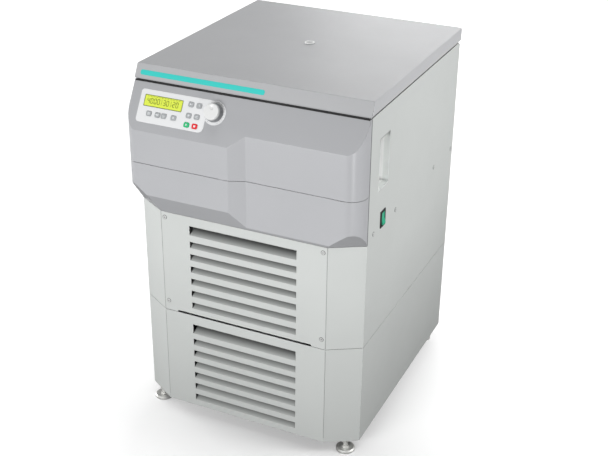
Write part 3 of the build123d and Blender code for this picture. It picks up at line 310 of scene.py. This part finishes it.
# ---------------------------------------------------------------- materials
MATERIALS = {
    "frame_paint": surface("frame_paint", srgb(88, 90, 93), 0.5, grain=500, bump=0.12, edge=0.001),
    "cabinet_paint": surface("cabinet_paint", CABINET, 0.42, grain=700, bump=0.10, vary=0.02, rough_vary=0.03,
                             edge=0.0012, edge_light=0.5, seam=0.010, colour=cabinet_colour),
    "vent_paint": surface("vent_paint", CABINET, 0.42, grain=700, bump=0.10, vary=0.02, rough_vary=0.03,
                          edge=0.0012, edge_light=0.3, seam=0.03, colour=vent_colour),
    "screw_steel": surface("screw_steel", srgb(212, 213, 212), 0.4, metal=0.3, grain=1500, bump=0.1,
                           edge=0.0004),
    "console_plastic": surface("console_plastic", CONSOLE, 0.34, grain=1400, bump=0.12, vary=0.02,
                               rough_vary=0.012, edge=0.0018, edge_light=0.35, seam=0.009,
                               colour=console_colour),
    "overlay": surface("overlay", srgb(226, 227, 228), 0.5, grain=2200, bump=0.12, vary=0.02, edge=0.0005),
    "display": surface("display", srgb(226, 240, 84), 0.16, grain=3000, bump=0.02, vary=0.05, coat=0.6),
    "circuit_board": surface("circuit_board", srgb(34, 96, 62), 0.45, grain=1200, bump=0.1),
    "knob": surface("knob", srgb(226, 227, 226), 0.3, grain=1500, bump=0.05, vary=0.03, edge=0.0012,
                    coat=0.15, colour=knob_colour),
    "black_plastic": surface("black_plastic", srgb(34, 35, 36), 0.42, grain=1300, bump=0.2, edge=0.0006),
    "rocker_green": surface("rocker_green", srgb(46, 176, 136), 0.28, grain=1800, bump=0.06, edge=0.0008,
                            coat=0.2),
    "grip_plastic": surface("grip_plastic", srgb(252, 253, 252), 0.5, grain=1300, bump=0.15, vary=0.03,
                            edge=0.001, edge_light=0.1, colour=grip_colour),
    "deck_steel": surface("deck_steel", srgb(206, 206, 204), 0.38, metal=0.85, grain=420, bump=0.03,
                          stretch=(0.25, 2.0, 1.0), vary=0.02, rough_vary=0.02, edge=0.0008),
    "seal_rubber": surface("seal_rubber", srgb(38, 38, 38), 0.75, grain=1600, bump=0.25),
    "armour_iron": surface("armour_iron", srgb(92, 93, 94), 0.6, metal=0.4, grain=260, bump=0.4, vary=0.15),
    "copper": surface("copper", srgb(196, 128, 96), 0.28, metal=1.0, grain=900, bump=0.05, vary=0.15),
    "motor_iron": surface("motor_iron", srgb(70, 76, 84), 0.5, metal=0.1, grain=400, bump=0.35, edge=0.001),
    "bright_steel": surface("bright_steel", srgb(206, 206, 205), 0.2, metal=1.0, grain=900, bump=0.04,
                            stretch=(1.0, 1.0, 6.0), edge=0.0005),
    "rotor_aluminium": surface("rotor_aluminium", srgb(150, 153, 158), 0.3, metal=0.9, grain=900, bump=0.08,
                               edge=0.001, edge_light=0.6),
    "bucket_aluminium": surface("bucket_aluminium", srgb(128, 134, 144), 0.34, metal=0.9, grain=1100,
                                bump=0.1, edge=0.001, edge_light=0.5),
    "black_paint": surface("black_paint", srgb(28, 28, 29), 0.25, grain=500, bump=0.12, edge=0.0008,
                           coat=0.3),
    "fin_aluminium": surface("fin_aluminium", srgb(196, 197, 198), 0.34, metal=0.9, grain=700, bump=0.1,
                             vary=0.08),
    "lid_plastic": surface("lid_plastic", LIDGREY, 0.44, grain=1400, bump=0.14, vary=0.02, rough_vary=0.03,
                           edge=0.0018, edge_light=0.3, seam=0.004, colour=lid_colour),
    "sight_glass": surface("sight_glass", srgb(236, 238, 238), 0.08, grain=1200, bump=0.01, vary=0.02,
                           transmission=0.35, coat=0.5),
    "foot_steel": surface("foot_steel", srgb(210, 210, 207), 0.48, metal=0.65, grain=900, bump=0.1,
                          edge=0.0006, edge_light=0.6, vary=0.1),
    "key_grey": surface("key_grey", srgb(164, 167, 169), 0.5, grain=1900, bump=0.15, edge=0.0007, vary=0.03),
    "key_green": surface("key_green", srgb(46, 184, 120), 0.45, grain=1900, bump=0.15, edge=0.0007,
                         vary=0.03),
    "key_red": surface("key_red", srgb(226, 44, 52), 0.45, grain=1900, bump=0.15, edge=0.0007, vary=0.03),
}
TURQUOISE = surface("turquoise_inlay", srgb(62, 204, 196), 0.35, grain=1800, bump=0.06, vary=0.03,
                    edge=0.0004)
SEGMENT = surface("lcd_segment", srgb(96, 112, 30), 0.35, grain=2400, bump=0.05, vary=0.1)
LCD_SHADE_RIM = surface("lcd_shade_rim", srgb(112, 122, 60), 0.4, grain=2400, bump=0.08, vary=0.08)
KEY_MARK = surface("key_mark", srgb(226, 228, 230), 0.5, grain=2600, bump=0.08, vary=0.04)
DARK_MARK = surface("dark_mark", srgb(70, 72, 74), 0.5, grain=2600, bump=0.08, vary=0.06)
LID_EDGE_SHADE = surface("lid_edge_shade", srgb(166, 167, 169), 0.45, grain=1400, bump=0.14, vary=0.02)
BEZEL = surface("sight_bezel", srgb(240, 241, 240), 0.3, grain=1500, bump=0.06, vary=0.03, edge=0.0004)
PANEL_JOINT = surface("panel_joint", srgb(150, 152, 151), 0.6, grain=1500, bump=0.2, vary=0.08)
JOINT_DARK = surface("joint_dark", srgb(104, 105, 107), 0.7, grain=1500, bump=0.2, vary=0.1)
SHADED_WASHER = surface("washer", srgb(134, 136, 135), 0.5, metal=0.2, grain=1500, bump=0.1, vary=0.1)
RECESS_SHADE = surface("screw_recess", srgb(96, 96, 96), 0.6, grain=1500, bump=0.2, vary=0.1)

slots = {p["node"]: p["material_slot"] for p in frame["record"]["subparts"]}
LOOKS = dict(slots, vent_panel_upper="vent_paint", vent_panel_lower="vent_paint")
for node_name, node in frame["nodes"].items():
    node.data.materials.clear()
    node.data.materials.append(MATERIALS[LOOKS[node_name]])

# ---------------------------------------------------------------- mesh helpers


def finish_mesh(name, mesh_data, material, body, place=Matrix.Identity(4)):
    piece = bpy.data.objects.new(name, mesh_data)
    bpy.context.scene.collection.objects.link(piece)
    mesh_data.transform(place)
    mesh_data.materials.append(material)
    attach(piece, body)


def ring(radius, steps=32):
    """Points round a circle about the origin."""
    turns = [2 * math.pi * i / steps for i in range(steps)]
    return [(radius * math.cos(a), radius * math.sin(a)) for a in turns]


def rounded_outline(width, height, radius, centre=(0.0, 0.0), steps=6):
    """Points round a rounded rectangle, in the order of the turn."""
    points = []
    for cx, cy, start in ((1, 1, 0), (-1, 1, 90), (-1, -1, 180), (1, -1, 270)):
        for i in range(steps + 1):
            a = math.radians(start + 90.0 * i / steps)
            points.append((centre[0] + cx * (width / 2 - radius) + radius * math.cos(a),
                           centre[1] + cy * (height / 2 - radius) + radius * math.sin(a)))
    return points


def inset(points, amount):
    """The outline moved inward along its corner normals."""
    moved = []
    count = len(points)
    for i in range(count):
        p, c, n = Vector(points[i - 1]), Vector(points[i]), Vector(points[(i + 1) % count])
        d1, d2 = (c - p).normalized(), (n - c).normalized()
        n1, n2 = Vector((-d1.y, d1.x)), Vector((-d2.y, d2.x))
        m = (n1 + n2).normalized()
        moved.append(tuple(c + m * (amount / max(0.5, m.dot(n1)))))
    return moved


def add_plate(bm, points, z0, z1, soft=0.0, hole=None):
    """A flat plate with a softened upper edge, and optionally a hole of as many points."""
    rings = [[(x, y, z0) for x, y in points]]
    if soft:
        rings.append([(x, y, z1 - soft) for x, y in points])
        rings.append([(x, y, z1 - soft * 0.3) for x, y in inset(points, soft * 0.3)])
        rings.append([(x, y, z1) for x, y in inset(points, soft)])
    else:
        rings.append([(x, y, z1) for x, y in points])
    if hole:
        rings.append([(x, y, z1) for x, y in hole])
        rings.append([(x, y, z0) for x, y in hole])
    loops = [[bm.verts.new(v) for v in points_at] for points_at in rings]
    pairs = list(zip(loops, loops[1:]))
    if hole:
        pairs.append((loops[-1], loops[0]))
    count = len(points)
    for low, high in pairs:
        for i in range(count):
            bm.faces.new((low[i], low[(i + 1) % count], high[(i + 1) % count], high[i]))
    if not hole:
        bm.faces.new(loops[-1])
        bm.faces.new(list(reversed(loops[0])))


def to_mesh(bm, name):
    bmesh.ops.recalc_face_normals(bm, faces=bm.faces)
    data = bpy.data.meshes.new(name)
    bm.to_mesh(data)
    bm.free()
    return data


def plates(name, items, material, body, place):
    """Several plates in one piece. Each item is (points, z0, z1, soft, hole), in millimetres."""
    bm = bmesh.new()
    for points, z0, z1, soft, hole in items:
        add_plate(bm, points, z0, z1, soft, hole)
    bmesh.ops.scale(bm, vec=(MM, MM, MM), verts=bm.verts)
    finish_mesh(name, to_mesh(bm, name), material, body, place)


def bar(x, y, length, width, angle=0.0):
    """A rounded stroke centred on a point."""
    c, s = math.cos(math.radians(angle)), math.sin(math.radians(angle))
    return [(x + px * c - py * s, y + px * s + py * c)
            for px, py in rounded_outline(length, width, width * 0.45, steps=3)]


# ---------------------------------------------------------------- lid stripe
STRIPE_X = (-297.0, 40.0)
STRIPE_MID = 14.5
STRIPE_H = 12.6
stripe = rounded_outline(STRIPE_X[1] - STRIPE_X[0], STRIPE_H, 4.5, (sum(STRIPE_X) / 2, STRIPE_MID))
plates("lid_stripe", [(stripe, -0.4, 0.35, 0.25, None)], TURQUOISE, "lid", LID_BEVEL)

# ---------------------------------------------------------------- lower edge of the lid's front, a strip of painted shade
LID_EDGE = 1.7           # height of the edge's visible part
edge_bar = rounded_outline(LID_HI.x * 2 / MM - 1.0, LID_EDGE + 1.0, 0.4, (0.0, (1.0 - LID_EDGE) / 2))
plates("lid_edge_shade", [(edge_bar, -0.9, 0.05, 0.2, None)], LID_EDGE_SHADE, "lid", LID_BEVEL)

# ---------------------------------------------------------------- bezel of the sight window
BEZEL_R = (9.4, 13.3)
WINDOW_LO, WINDOW_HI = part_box("lid_window")
sight_at = ((WINDOW_LO + WINDOW_HI) / 2).to_2d()
bezel_place = Matrix.Translation((sight_at.x, sight_at.y, WINDOW_HI.z))
plates("sight_bezel", [(ring(BEZEL_R[1]), -0.2, 0.5, 0.3, ring(BEZEL_R[0]))],
       BEZEL, "lid", bezel_place)

# ---------------------------------------------------------------- display characters
OVERLAY_TOP = 0.8        # of the printed film, above the slope
DISPLAY = ((-270.0, -165.0), (30.0, 57.5))
SEGMENTS = {
    "0": "abcdef", "1": "bc", "2": "abged", "3": "abgcd", "4": "fgbc",
    "5": "afgcd", "6": "afgedc", "7": "abc", "8": "abcdefg", "9": "abcdfg",
}


def seven_segments(digit, x, y, width, height, stroke):
    """Strokes of one plain seven-segment digit, its lower left corner at x, y."""
    half = height / 2
    long_way = width - stroke * 0.6
    tall = half - stroke * 0.6
    spots = {
        "a": (x + width / 2, y + height, long_way, 0), "d": (x + width / 2, y, long_way, 0),
        "g": (x + width / 2, y + half, long_way, 0),
        "f": (x, y + half * 1.5, tall, 90), "b": (x + width, y + half * 1.5, tall, 90),
        "e": (x, y + half * 0.5, tall, 90), "c": (x + width, y + half * 0.5, tall, 90),
    }
    return [bar(*spots[s][:2], spots[s][2], stroke, spots[s][3]) for s in SEGMENTS[digit]]


READOUTS = (("4000", -261.5), ("30", -217.5), ("20", -191.5))  # plain numbers and their left edges
DIGIT_PITCH = 9.2
DIGIT_FORM = (37.5, 5.6, 12.5, 1.5)  # foot, width, height, stroke
DIVIDERS_X = (-222.3, -196.2)
DASHES = (-261.0, 7.8, 12)  # first, pitch, count


def display_items():
    """The digits, the lines between them and a row of dashes above."""
    strokes = []
    for text, x in READOUTS:
        for i, digit in enumerate(text):
            strokes += seven_segments(digit, x + DIGIT_PITCH * i, *DIGIT_FORM)
    strokes += [bar(x, 43.8, 14.0, 0.7, 90) for x in DIVIDERS_X]
    first, pitch, count = DASHES
    strokes += [bar(first + pitch * i, 54.4, 4.2, 0.8) for i in range(count)]
    return [(stroke, OVERLAY_TOP - 0.05, OVERLAY_TOP + 0.12, 0.0, None) for stroke in strokes]


plates("display_characters", display_items(), SEGMENT, "root", PANEL)
width = DISPLAY[0][1] - DISPLAY[0][0]
height = DISPLAY[1][1] - DISPLAY[1][0]
centre = (sum(DISPLAY[0]) / 2, sum(DISPLAY[1]) / 2)
# a dark rim round the display: painted shade along its edges
rim_out = rounded_outline(width + 1.4, height + 1.4, 1.6, centre)
rim_in = rounded_outline(width - 1.8, height - 1.8, 0.8, centre)
plates("display_rim", [(rim_out, OVERLAY_TOP - 0.1, OVERLAY_TOP + 0.35, 0.0, rim_in)],
       LCD_SHADE_RIM, "root", PANEL)

# ---------------------------------------------------------------- key marks
KEY_TOP = 2.2            # of the key caps, above the slope


def key_spot(key):
    """Centre of a key cap on the operator panel, in millimetres."""
    points = [v.co for v in frame["nodes"][key].data.vertices]
    top = max(p.dot(OUT_SLOPE) for p in points)
    caps = [p for p in points if p.dot(OUT_SLOPE) > top - 1e-5]
    middle = sum(caps, Vector()) / len(caps)
    flat = PANEL.inverted() @ middle
    xs = [c.x for c in caps]
    return ((min(xs) + max(xs)) / 2 / MM, flat.y / MM)


def triangle(x, y, size, angle):
    points = []
    for i in range(3):
        a = math.radians(angle + 120 * i)
        points.append((x + size * math.cos(a), y + size * math.sin(a)))
    return points


MARKS = {
    "key_program": lambda x, y: [bar(x, y + 2.2, 7, 1.1), bar(x, y, 7, 1.1), bar(x, y - 2.2, 7, 1.1)],
    "key_recall": lambda x, y: [triangle(x + 1.8, y, 2.9, 180), triangle(x - 2.4, y, 2.9, 180)],
    "key_minus": lambda x, y: [bar(x, y, 7, 1.5), bar(x, y - 3.0, 7, 0.8)],
    "key_light": lambda x, y: [bar(x, y, 6.4, 1.2, a) for a in (0, 60, 120)],
    "key_speed": lambda x, y: [triangle(x - 1.2, y, 3.0, 0), bar(x + 3.0, y, 5, 1.1, 90)],
    "key_time": lambda x, y: [bar(x, y + 1.4, 4.2, 1.1, 90), bar(x + 1.6, y - 0.6, 4.2, 1.1, 0)],
    "key_cool": lambda x, y: [bar(x, y, 7.0, 1.0, a) for a in (0, 60, 120)],
    "key_lid": lambda x, y: [bar(x, y - 2.2, 7.4, 1.1), bar(x, y + 1.2, 7.4, 1.1, 24)],
    "key_start": lambda x, y: [triangle(x - 0.6, y, 3.3, 0)],
    "key_stop": lambda x, y: [rounded_outline(5.0, 5.0, 0.6, (x, y), 3)],
}
for key, draw in MARKS.items():
    at = key_spot(key)
    shapes = [(outline, KEY_TOP - 0.08, KEY_TOP + 0.1, 0.0, None) for outline in draw(*at)]
    plates(key + "_mark", shapes, KEY_MARK, key + "_cap", PANEL)

# ---------------------------------------------------------------- gasket under the lid's rim
DECK_TOP = 0.924
GASKET_H = 0.0033
GASKET_OUT = 0.3035      # half of the width over both outer sides
GASKET_Y = (-0.2948, 0.296)
GASKET_W = 0.0105
GASKET_SECTION = (  # across and up, as parts of the width and height
    (0.0, 0.0), (0.0, 0.7), (0.12, 0.95), (0.3, 1.0), (0.7, 1.0), (0.88, 0.95), (1.0, 0.7), (1.0, 0.0))


def gasket():
    """A soft strip round the front and both sides of the deck, with a rounded top."""
    bm = bmesh.new()
    loops = []
    for u, h in GASKET_SECTION:
        x, y, z = GASKET_OUT - u * GASKET_W, GASKET_Y[0] + u * GASKET_W, DECK_TOP + h * GASKET_H
        corners = [(-x, GASKET_Y[1], z), (-x, y, z), (x, y, z), (x, GASKET_Y[1], z)]
        loops.append([bm.verts.new(c) for c in corners])
    for low, high in zip(loops, loops[1:] + loops[:1]):
        for j in range(3):
            bm.faces.new((low[j], low[j + 1], high[j + 1], high[j]))
    bm.faces.new([loop[0] for loop in loops])
    bm.faces.new([loop[3] for loop in reversed(loops)])
    return to_mesh(bm, "deck_gasket")


finish_mesh("deck_gasket", gasket(), MATERIALS["seal_rubber"], "root")

# ---------------------------------------------------------------- seal round the console's edges
LIP = 3.4                # width of the seal's lip on the top of the slope
CONSOLE_BACK_Y = -290.0
CONSOLE_Z = (603.0, 923.0)
JOINT_W = 3.6            # joint between the console and a side panel
lip = rounded_outline(2 * HALF - 4.0, LIP, 0.5, (0.0, SLOPE_LENGTH / MM - LIP / 2))
plates("console_lip", [(lip, -0.2, 0.45, 0.2, None)], MATERIALS["seal_rubber"],
       "root", PANEL)
joint = rounded_outline(JOINT_W, CONSOLE_Z[1] - CONSOLE_Z[0], 0.6, (CONSOLE_BACK_Y, sum(CONSOLE_Z) / 2))
for side, sign in (("right", 1), ("left", -1)):
    upright = Matrix(((0, 0, sign, sign * HALF * MM), (1, 0, 0, 0), (0, 1, 0, 0), (0, 0, 0, 1)))
    plates("console_joint_" + side, [(joint, -0.3, 0.15, 0.1, None)], JOINT_DARK,
           "root", upright)

# ---------------------------------------------------------------- joints beside the vent panels
PANEL_EDGE_X = 229.0
PANEL_JOINT_W = 1.5
PANEL_HEIGHTS = ((46.0, 312.0), (319.0, 600.0))
FACE = Matrix(((1, 0, 0, 0), (0, 0, -1, VENT_FACE_Y), (0, 1, 0, 0), (0, 0, 0, 1)))
vent_joints = []
for x in (-PANEL_EDGE_X, PANEL_EDGE_X):
    for low, high in PANEL_HEIGHTS:
        strip = rounded_outline(PANEL_JOINT_W, high - low, 0.4, (x, (low + high) / 2))
        vent_joints.append((strip, -0.3, 0.12, 0.05, None))
plates("vent_joints", vent_joints, PANEL_JOINT, "root", FACE)

# ---------------------------------------------------------------- knob's scale on the overlay
KNOB_AT = (-76.8, 42.0)
SCALE_R = 26.2
ticks = []
for degrees in range(-60, 241, 15):
    a = math.radians(degrees)
    tick = bar(KNOB_AT[0] + SCALE_R * math.cos(a), KNOB_AT[1] + SCALE_R * math.sin(a), 2.2, 0.6, degrees)
    ticks.append((tick, OVERLAY_TOP - 0.05, OVERLAY_TOP + 0.08, 0.0, None))
plates("knob_scale", ticks, DARK_MARK, "root", PANEL)

# ---------------------------------------------------------------- screws: washers and recesses


def screw_faces():
    """Centres and directions of the outer ends of the pan-head screws."""
    lo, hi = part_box("panel_screws")
    found = []
    bm = bmesh.new()
    bm.from_mesh(frame["nodes"]["panel_screws"].data)
    bmesh.ops.remove_doubles(bm, verts=bm.verts, dist=1e-6)
    seen = set()
    for start in bm.verts:
        if start.index in seen:
            continue
        island, queue = [], [start]
        seen.add(start.index)
        while queue:
            v = queue.pop()
            island.append(v.co.copy())
            for e in v.link_edges:
                other = e.other_vert(v)
                if other.index not in seen:
                    seen.add(other.index)
                    queue.append(other)
        low = Vector([min(c[i] for c in island) for i in range(3)])
        high = Vector([max(c[i] for c in island) for i in range(3)])
        mid = (low + high) / 2
        if abs(low.y - lo.y) < 1e-4:
            found.append((Vector((mid.x, low.y, mid.z)), Vector((0, -1, 0))))
        elif abs(high.x - hi.x) < 1e-4:
            found.append((Vector((high.x, mid.y, mid.z)), Vector((1, 0, 0))))
        else:
            found.append((Vector((low.x, mid.y, mid.z)), Vector((-1, 0, 0))))
    bm.free()
    return found


SCREWS = screw_faces()
WASHER_R = (4.6, 6.1)
HEAD_H = 1.3             # height of a screw's head over its washer's base
RECESS_R = (1.9, 1.368)  # points and hollows of the six-pointed recess


def on_screws(name, material, sink, *plate):
    """The same plate, given as in add_plate, on every screw, sunk below the screw's outer end."""
    bm = bmesh.new()
    for at, out in SCREWS:
        turn = out.to_track_quat("Z", "Y").to_matrix().to_4x4()
        before = set(bm.verts)
        add_plate(bm, *plate)
        fresh = [v for v in bm.verts if v not in before]
        bmesh.ops.scale(bm, vec=(MM, MM, MM), verts=fresh)
        bmesh.ops.transform(bm, matrix=Matrix.Translation(at - out * sink * MM) @ turn, verts=fresh)
    finish_mesh(name, to_mesh(bm, name), material, "root")


# washers in a darker tone: partly a real washer, partly a painted shadow round each screw head
on_screws("screw_washers", SHADED_WASHER, HEAD_H, ring(WASHER_R[1]), -0.05, 0.55, 0.3, ring(WASHER_R[0]))
# a dark star on each head: painted shade where the screw's recess would be
star = []
for i in range(12):
    a = math.radians(30 * i)
    star.append((RECESS_R[i % 2] * math.cos(a), RECESS_R[i % 2] * math.sin(a)))
on_screws("screw_recesses", RECESS_SHADE, 0.0, star, -0.3, 0.03)

# ---------------------------------------------------------------- floor
FLOOR_HALF = 14.0
FLOOR_GLOW = (0.18, 0.46)  # in front of the object, and away from it
SHADE_AT = (0.22, -0.68, 0.0)  # middle of the darker floor
SHADE_RANGE = (0.2, 1.0)  # distances from it between which the glow rises
FAR_GLOW = 0.95          # far off, where the lights don't reach
FAR_RANGE = (1.8, 5.0)
FLOOR_TONE = 0.70        # as the camera sees the floor
FLOOR_BOUNCE = 0.22      # as other rays meet it


def pale_floor():
    """A pale floor that throws back little light, with a glow that only the camera sees, weaker round
    SHADE_AT as a painted shadow.
    """
    material, tree = new_material("floor")
    shader = add(tree, "ShaderNodeBsdfPrincipled")
    output = add(tree, "ShaderNodeOutputMaterial")
    coords = add(tree, "ShaderNodeTexCoord").outputs["Object"]
    tone = noise(tree, coords, 1.5, 3.0)
    path = add(tree, "ShaderNodeLightPath")
    pale = blend(tree, path.outputs["Is Camera Ray"], (FLOOR_BOUNCE,) * 3, (FLOOR_TONE,) * 3)
    mottle = blend(tree, tone, (1.0, 1.0, 1.0), (0.97, 0.97, 0.97))
    varied = blend(tree, 1.0, pale, mottle, "MULTIPLY")
    tree.links.new(varied, shader.inputs["Base Color"])
    tree.links.new(span(tree, noise(tree, coords, 8.0), 0.3, 0.7, 0.5, 0.6), shader.inputs["Roughness"])
    shader.inputs["Specular IOR Level"].default_value = 0.2
    glow = add(tree, "ShaderNodeEmission")
    away = add(tree, "ShaderNodeVectorMath", operation="DISTANCE")
    tree.links.new(coords, away.inputs[0])
    away.inputs[1].default_value = SHADE_AT
    # painted shadow: the glow is weaker near the object
    near = span(tree, away.outputs["Value"], *SHADE_RANGE, *FLOOR_GLOW)
    far = span(tree, away.outputs["Value"], *FAR_RANGE, 0.0, FAR_GLOW)
    tree.links.new(maths(tree, "MAXIMUM", near, far), glow.inputs["Strength"])
    dark = add(tree, "ShaderNodeEmission")
    dark.inputs["Strength"].default_value = 0.0
    chosen = mix_shaders(tree, path.outputs["Is Camera Ray"], dark, glow)
    total = add(tree, "ShaderNodeAddShader")
    tree.links.new(shader.outputs[0], total.inputs[0])
    tree.links.new(chosen.outputs[0], total.inputs[1])
    tree.links.new(total.outputs[0], output.inputs[0])
    return material


floor_mesh = bpy.data.meshes.new("floor")
corners = [(-FLOOR_HALF, -FLOOR_HALF, 0), (FLOOR_HALF, -FLOOR_HALF, 0),
           (FLOOR_HALF, FLOOR_HALF, 0), (-FLOOR_HALF, FLOOR_HALF, 0)]
floor_mesh.from_pydata(corners, [], [(0, 1, 2, 3)])
floor = bpy.data.objects.new("floor", floor_mesh)
floor.data.materials.append(pale_floor())
bpy.context.scene.collection.objects.link(floor)

# ---------------------------------------------------------------- camera
SENSOR, LENS = 36.0, 65.2  # in millimetres
CAMERA_AT = (1.1325, -2.4498, 1.8157)
RIGHT = Vector((0.90707, 0.42084, 0.01096))
DOWN = Vector((0.19890, -0.40546, -0.89221))
FORWARD = Vector((-0.37103, 0.81148, -0.45148))

camera_data = bpy.data.cameras.new("camera")
camera_data.sensor_width = SENSOR
camera_data.lens = LENS
camera = bpy.data.objects.new("camera", camera_data)
bpy.context.scene.collection.objects.link(camera)
axes = Matrix((RIGHT, -DOWN, -FORWARD)).transposed().to_4x4()
camera.matrix_world = Matrix.Translation(CAMERA_AT) @ axes
bpy.context.scene.camera = camera

# ---------------------------------------------------------------- lights


def area_light(name, at, target, size, power):
    """A square light that the camera doesn't see."""
    data = bpy.data.lights.new(name, "AREA")
    data.shape = "SQUARE"
    data.size = size
    data.energy = power
    light = bpy.data.objects.new(name, data)
    light.location = at
    light.visible_camera = False
    direction = Vector(target) - Vector(at)
    light.rotation_euler = direction.to_track_quat("-Z", "Y").to_euler()
    bpy.context.scene.collection.objects.link(light)


LIGHTS = (
    # name, position, aim, size, power
    ("left", (-4.6, 0.4, 1.6), (0.0, 0.0, 0.6), 2.4, 152.0),
    ("behind", (0.0, 3.6, 3.0), (0.0, 0.0, 0.6), 2.4, 14.0),
    ("front_near", (-0.35, -2.5, 0.85), (0.0, 0.0, 0.7), 1.0, 41.5),
    ("right_high", (1.9, 0.3, 1.15), (0.3, 0.0, 0.8), 0.8, 25.5),
    ("floor_strip", (1.15, -1.53, 0.35), (0.3, -0.33, 0.75), 0.14, 5.5),
    ("overhead", (-0.3, 0.2, 3.4), (-0.1, 0.0, 0.9), 1.6, 22.5),
    ("back_fill", (-0.6, 3.4, 1.2), (0.0, 0.35, 0.5), 1.6, 34.0),
)
for light_name, light_at, aim, size, power in LIGHTS:
    area_light(light_name, light_at, aim, size, power)

# ---------------------------------------------------------------- surroundings
SKY = 0.2
MIRRORED_SKY = 0.45      # what bright metal reflects
BACKDROP = 1.05          # what the camera sees
world = bpy.data.worlds.new("studio")
world.use_nodes = True
bpy.context.scene.world = world
world_tree = world.node_tree
world_tree.nodes.clear()


def background(strength):
    node = add(world_tree, "ShaderNodeBackground")
    node.inputs["Color"].default_value = (1.0, 1.0, 1.0, 1.0)
    node.inputs["Strength"].default_value = strength
    return node


seen_by = add(world_tree, "ShaderNodeLightPath").outputs
unseen = mix_shaders(world_tree, seen_by["Is Glossy Ray"], background(SKY), background(MIRRORED_SKY))
seen = mix_shaders(world_tree, seen_by["Is Camera Ray"], unseen, background(BACKDROP))
world_out = add(world_tree, "ShaderNodeOutputWorld")
world_tree.links.new(seen.outputs[0], world_out.inputs[0])

bpy.context.scene.view_settings.view_transform = "Standard"
bpy.context.scene.view_settings.look = "None"
